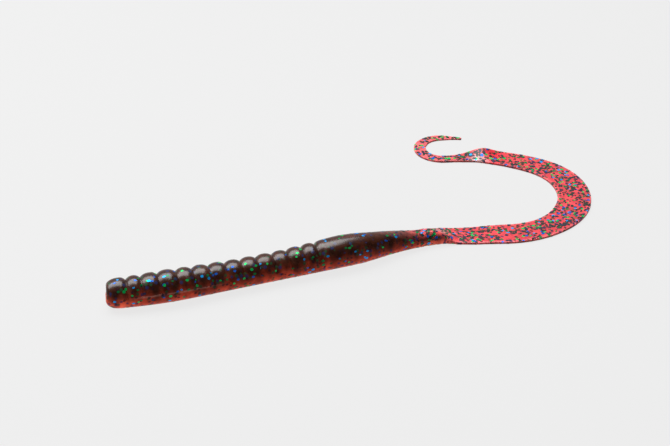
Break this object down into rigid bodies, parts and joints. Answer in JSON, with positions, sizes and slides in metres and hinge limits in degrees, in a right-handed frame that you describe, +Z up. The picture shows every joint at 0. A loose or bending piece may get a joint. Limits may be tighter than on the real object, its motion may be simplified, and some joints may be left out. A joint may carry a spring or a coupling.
{
  "type": "ribbon-tail worm lure",
  "caption": "Soft plastic fishing worm with a ribbed body, smooth collar and long flat curled ribbon tail.",
  "frame": {"origin": "on the table under the middle of the collar", "axes": "+X along the straight back towards the tail, +Y towards the side the tail curls to, +Z up"},
  "size_m": [0.1744, 0.0779, 0.01],
  "materials": {
    "body_plastic": "glossy soft plastisol, translucent dark red with glitter",
    "tail_plastic": "glossy soft plastisol, translucent pinkish red with glitter"
  },
  "bodies": {
    "nose_segment": {"nose_segment": "body_plastic"},
    "body_segment_02": {"body_segment_02": "body_plastic"},
    "body_segment_03": {"body_segment_03": "body_plastic"},
    "body_segment_04": {"body_segment_04": "body_plastic"},
    "body_segment_05": {"body_segment_05": "body_plastic"},
    "body_segment_06": {"body_segment_06": "body_plastic"},
    "body_segment_07": {"body_segment_07": "body_plastic"},
    "body_segment_08": {"body_segment_08": "body_plastic"},
    "body_segment_09": {"body_segment_09": "body_plastic"},
    "body_segment_10": {"body_segment_10": "body_plastic"},
    "body_segment_11": {"body_segment_11": "body_plastic"},
    "body_segment_12": {"body_segment_12": "body_plastic"},
    "body_segment_13": {"body_segment_13": "body_plastic"},
    "collar": {"collar": "body_plastic"},
    "rear_body_01": {"rear_body_01": "body_plastic"},
    "rear_body_02": {"rear_body_02": "body_plastic"},
    "rear_body_03": {"rear_body_03": "body_plastic"},
    "tail_root": {"tail_root": "tail_plastic"},
    "tail_ribbon_01": {"tail_ribbon_01": "tail_plastic"},
    "tail_ribbon_02": {"tail_ribbon_02": "tail_plastic"},
    "tail_ribbon_03": {"tail_ribbon_03": "tail_plastic"},
    "tail_ribbon_04": {"tail_ribbon_04": "tail_plastic"},
    "tail_ribbon_05": {"tail_ribbon_05": "tail_plastic"},
    "tail_ribbon_06": {"tail_ribbon_06": "tail_plastic"},
    "tail_ribbon_07": {"tail_ribbon_07": "tail_plastic"},
    "tail_ribbon_08": {"tail_ribbon_08": "tail_plastic"},
    "tail_ribbon_09": {"tail_ribbon_09": "tail_plastic"},
    "tail_ribbon_10": {"tail_ribbon_10": "tail_plastic"},
    "tail_tip": {"tail_tip": "tail_plastic"}
  },
  "joints": [
    {"name": "body_13_bend", "type": "hinge", "parent": "collar", "child": "body_segment_13", "pos_m": [-0.006, 0.00001, 0.00466], "axis": [0, 0, 1], "range_deg": [-15, 15], "stiffness_Nm_per_rad": 0.008},
    {"name": "body_12_bend", "type": "hinge", "parent": "body_segment_13", "child": "body_segment_12", "pos_m": [-0.0106, 0.00002, 0.00454], "axis": [0, 0, 1], "range_deg": [-15, 15], "stiffness_Nm_per_rad": 0.008},
    {"name": "body_11_lift", "type": "hinge", "parent": "body_segment_12", "child": "body_segment_11", "pos_m": [-0.0156, 0.00004, 0.00442], "axis": [0.005, 1, 0], "range_deg": [0, 15], "stiffness_Nm_per_rad": 0.008},
    {"name": "body_10_bend", "type": "hinge", "parent": "body_segment_11", "child": "body_segment_10", "pos_m": [-0.0205, 0.00007, 0.00436], "axis": [0, 0, 1], "range_deg": [-15, 15], "stiffness_Nm_per_rad": 0.008},
    {"name": "body_09_bend", "type": "hinge", "parent": "body_segment_10", "child": "body_segment_09", "pos_m": [-0.0259, 0.00011, 0.00437], "axis": [0, 0, 1], "range_deg": [-15, 15], "stiffness_Nm_per_rad": 0.008},
    {"name": "body_08_lift", "type": "hinge", "parent": "body_segment_09", "child": "body_segment_08", "pos_m": [-0.0311, 0.00016, 0.00439], "axis": [0.0101, 0.9999, 0], "range_deg": [0, 15], "stiffness_Nm_per_rad": 0.008},
    {"name": "body_07_bend", "type": "hinge", "parent": "body_segment_08", "child": "body_segment_07", "pos_m": [-0.0362, 0.00021, 0.00444], "axis": [0, 0, 1], "range_deg": [-15, 15], "stiffness_Nm_per_rad": 0.008},
    {"name": "body_06_bend", "type": "hinge", "parent": "body_segment_07", "child": "body_segment_06", "pos_m": [-0.0415, 0.00028, 0.00456], "axis": [0, 0, 1], "range_deg": [-15, 15], "stiffness_Nm_per_rad": 0.008},
    {"name": "body_05_lift", "type": "hinge", "parent": "body_segment_06", "child": "body_segment_05", "pos_m": [-0.0469, 0.00036, 0.00469], "axis": [0.0152, 0.9999, 0], "range_deg": [0, 15], "stiffness_Nm_per_rad": 0.008},
    {"name": "body_04_bend", "type": "hinge", "parent": "body_segment_05", "child": "body_segment_04", "pos_m": [-0.0521, 0.00052, 0.00481], "axis": [0, 0, 1], "range_deg": [-15, 15], "stiffness_Nm_per_rad": 0.008},
    {"name": "body_03_bend", "type": "hinge", "parent": "body_segment_04", "child": "body_segment_03", "pos_m": [-0.05808, 0.00099, 0.00485], "axis": [0, 0, 1], "range_deg": [-15, 15], "stiffness_Nm_per_rad": 0.008},
    {"name": "body_02_lift", "type": "hinge", "parent": "body_segment_03", "child": "body_segment_02", "pos_m": [-0.06343, 0.00169, 0.00468], "axis": [0.1512, 0.9885, 0], "range_deg": [0, 15], "stiffness_Nm_per_rad": 0.008},
    {"name": "nose_bend", "type": "hinge", "parent": "body_segment_02", "child": "nose_segment", "pos_m": [-0.06796, 0.00247, 0.00454], "axis": [0, 0, 1], "range_deg": [-15, 15], "stiffness_Nm_per_rad": 0.008},
    {"name": "rear_body_01_bend", "type": "hinge", "parent": "collar", "child": "rear_body_01", "pos_m": [0.006, 0.00001, 0.0047], "axis": [0, 0, 1], "range_deg": [-15, 15], "stiffness_Nm_per_rad": 0.008},
    {"name": "rear_body_02_lift", "type": "hinge", "parent": "rear_body_01", "child": "rear_body_02", "pos_m": [0.01645, 0.00091, 0.00382], "axis": [0.1227, -0.9924, 0], "range_deg": [0, 15], "stiffness_Nm_per_rad": 0.003},
    {"name": "rear_body_03_bend", "type": "hinge", "parent": "rear_body_02", "child": "rear_body_03", "pos_m": [0.02842, 0.00155, 0.00267], "axis": [0, 0, 1], "range_deg": [-15, 15], "stiffness_Nm_per_rad": 0.003},
    {"name": "tail_root_lift", "type": "hinge", "parent": "rear_body_03", "child": "tail_root", "pos_m": [0.04138, 0.00063, 0.00211], "axis": [-0.1313, -0.9913, 0], "range_deg": [0, 12], "stiffness_Nm_per_rad": 0.003},
    {"name": "tail_ribbon_01_bend", "type": "hinge", "parent": "tail_root", "child": "tail_ribbon_01", "pos_m": [0.05122, -0.00116, 0.0005], "axis": [0, 0, 1], "range_deg": [-12, 12], "stiffness_Nm_per_rad": 0.001},
    {"name": "tail_ribbon_02_lift", "type": "hinge", "parent": "tail_ribbon_01", "child": "tail_ribbon_02", "pos_m": [0.06476, -0.00465, 0.0005], "axis": [-0.1302, -0.9915, 0], "range_deg": [0, 25], "stiffness_Nm_per_rad": 0.0002},
    {"name": "tail_ribbon_03_bend", "type": "hinge", "parent": "tail_ribbon_02", "child": "tail_ribbon_03", "pos_m": [0.07756, -0.00329, 0.0005], "axis": [0, 0, 1], "range_deg": [-12, 12], "stiffness_Nm_per_rad": 0.001},
    {"name": "tail_ribbon_04_lift", "type": "hinge", "parent": "tail_ribbon_03", "child": "tail_ribbon_04", "pos_m": [0.08839, 0.0045, 0.0005], "axis": [0.7775, -0.6288, 0], "range_deg": [0, 25], "stiffness_Nm_per_rad": 0.0002},
    {"name": "tail_ribbon_05_bend", "type": "hinge", "parent": "tail_ribbon_04", "child": "tail_ribbon_05", "pos_m": [0.09381, 0.01721, 0.0005], "axis": [0, 0, 1], "range_deg": [-12, 12], "stiffness_Nm_per_rad": 0.001},
    {"name": "tail_ribbon_06_lift", "type": "hinge", "parent": "tail_ribbon_05", "child": "tail_ribbon_06", "pos_m": [0.09146, 0.03079, 0.0005], "axis": [0.8871, 0.4616, 0], "range_deg": [0, 25], "stiffness_Nm_per_rad": 0.0002},
    {"name": "tail_ribbon_07_bend", "type": "hinge", "parent": "tail_ribbon_06", "child": "tail_ribbon_07", "pos_m": [0.08285, 0.04111, 0.0005], "axis": [0, 0, 1], "range_deg": [-12, 12], "stiffness_Nm_per_rad": 0.001},
    {"name": "tail_ribbon_08_lift", "type": "hinge", "parent": "tail_ribbon_07", "child": "tail_ribbon_08", "pos_m": [0.07191, 0.04792, 0.0005], "axis": [0.2529, 0.9675, 0], "range_deg": [0, 25], "stiffness_Nm_per_rad": 0.0002},
    {"name": "tail_ribbon_09_bend", "type": "hinge", "parent": "tail_ribbon_08", "child": "tail_ribbon_09", "pos_m": [0.0603, 0.05083, 0.0005], "axis": [0, 0, 1], "range_deg": [-12, 12], "stiffness_Nm_per_rad": 0.0004},
    {"name": "tail_ribbon_10_lift", "type": "hinge", "parent": "tail_ribbon_09", "child": "tail_ribbon_10", "pos_m": [0.05677, 0.06115, 0.0005], "axis": [0.9121, -0.4099, 0], "range_deg": [0, 25], "stiffness_Nm_per_rad": 0.0002},
    {"name": "tail_tip_bend", "type": "hinge", "parent": "tail_ribbon_10", "child": "tail_tip", "pos_m": [0.06339, 0.06583, 0.0005], "axis": [0, 0, 1], "range_deg": [-12, 12], "stiffness_Nm_per_rad": 0.0004}
  ]
}
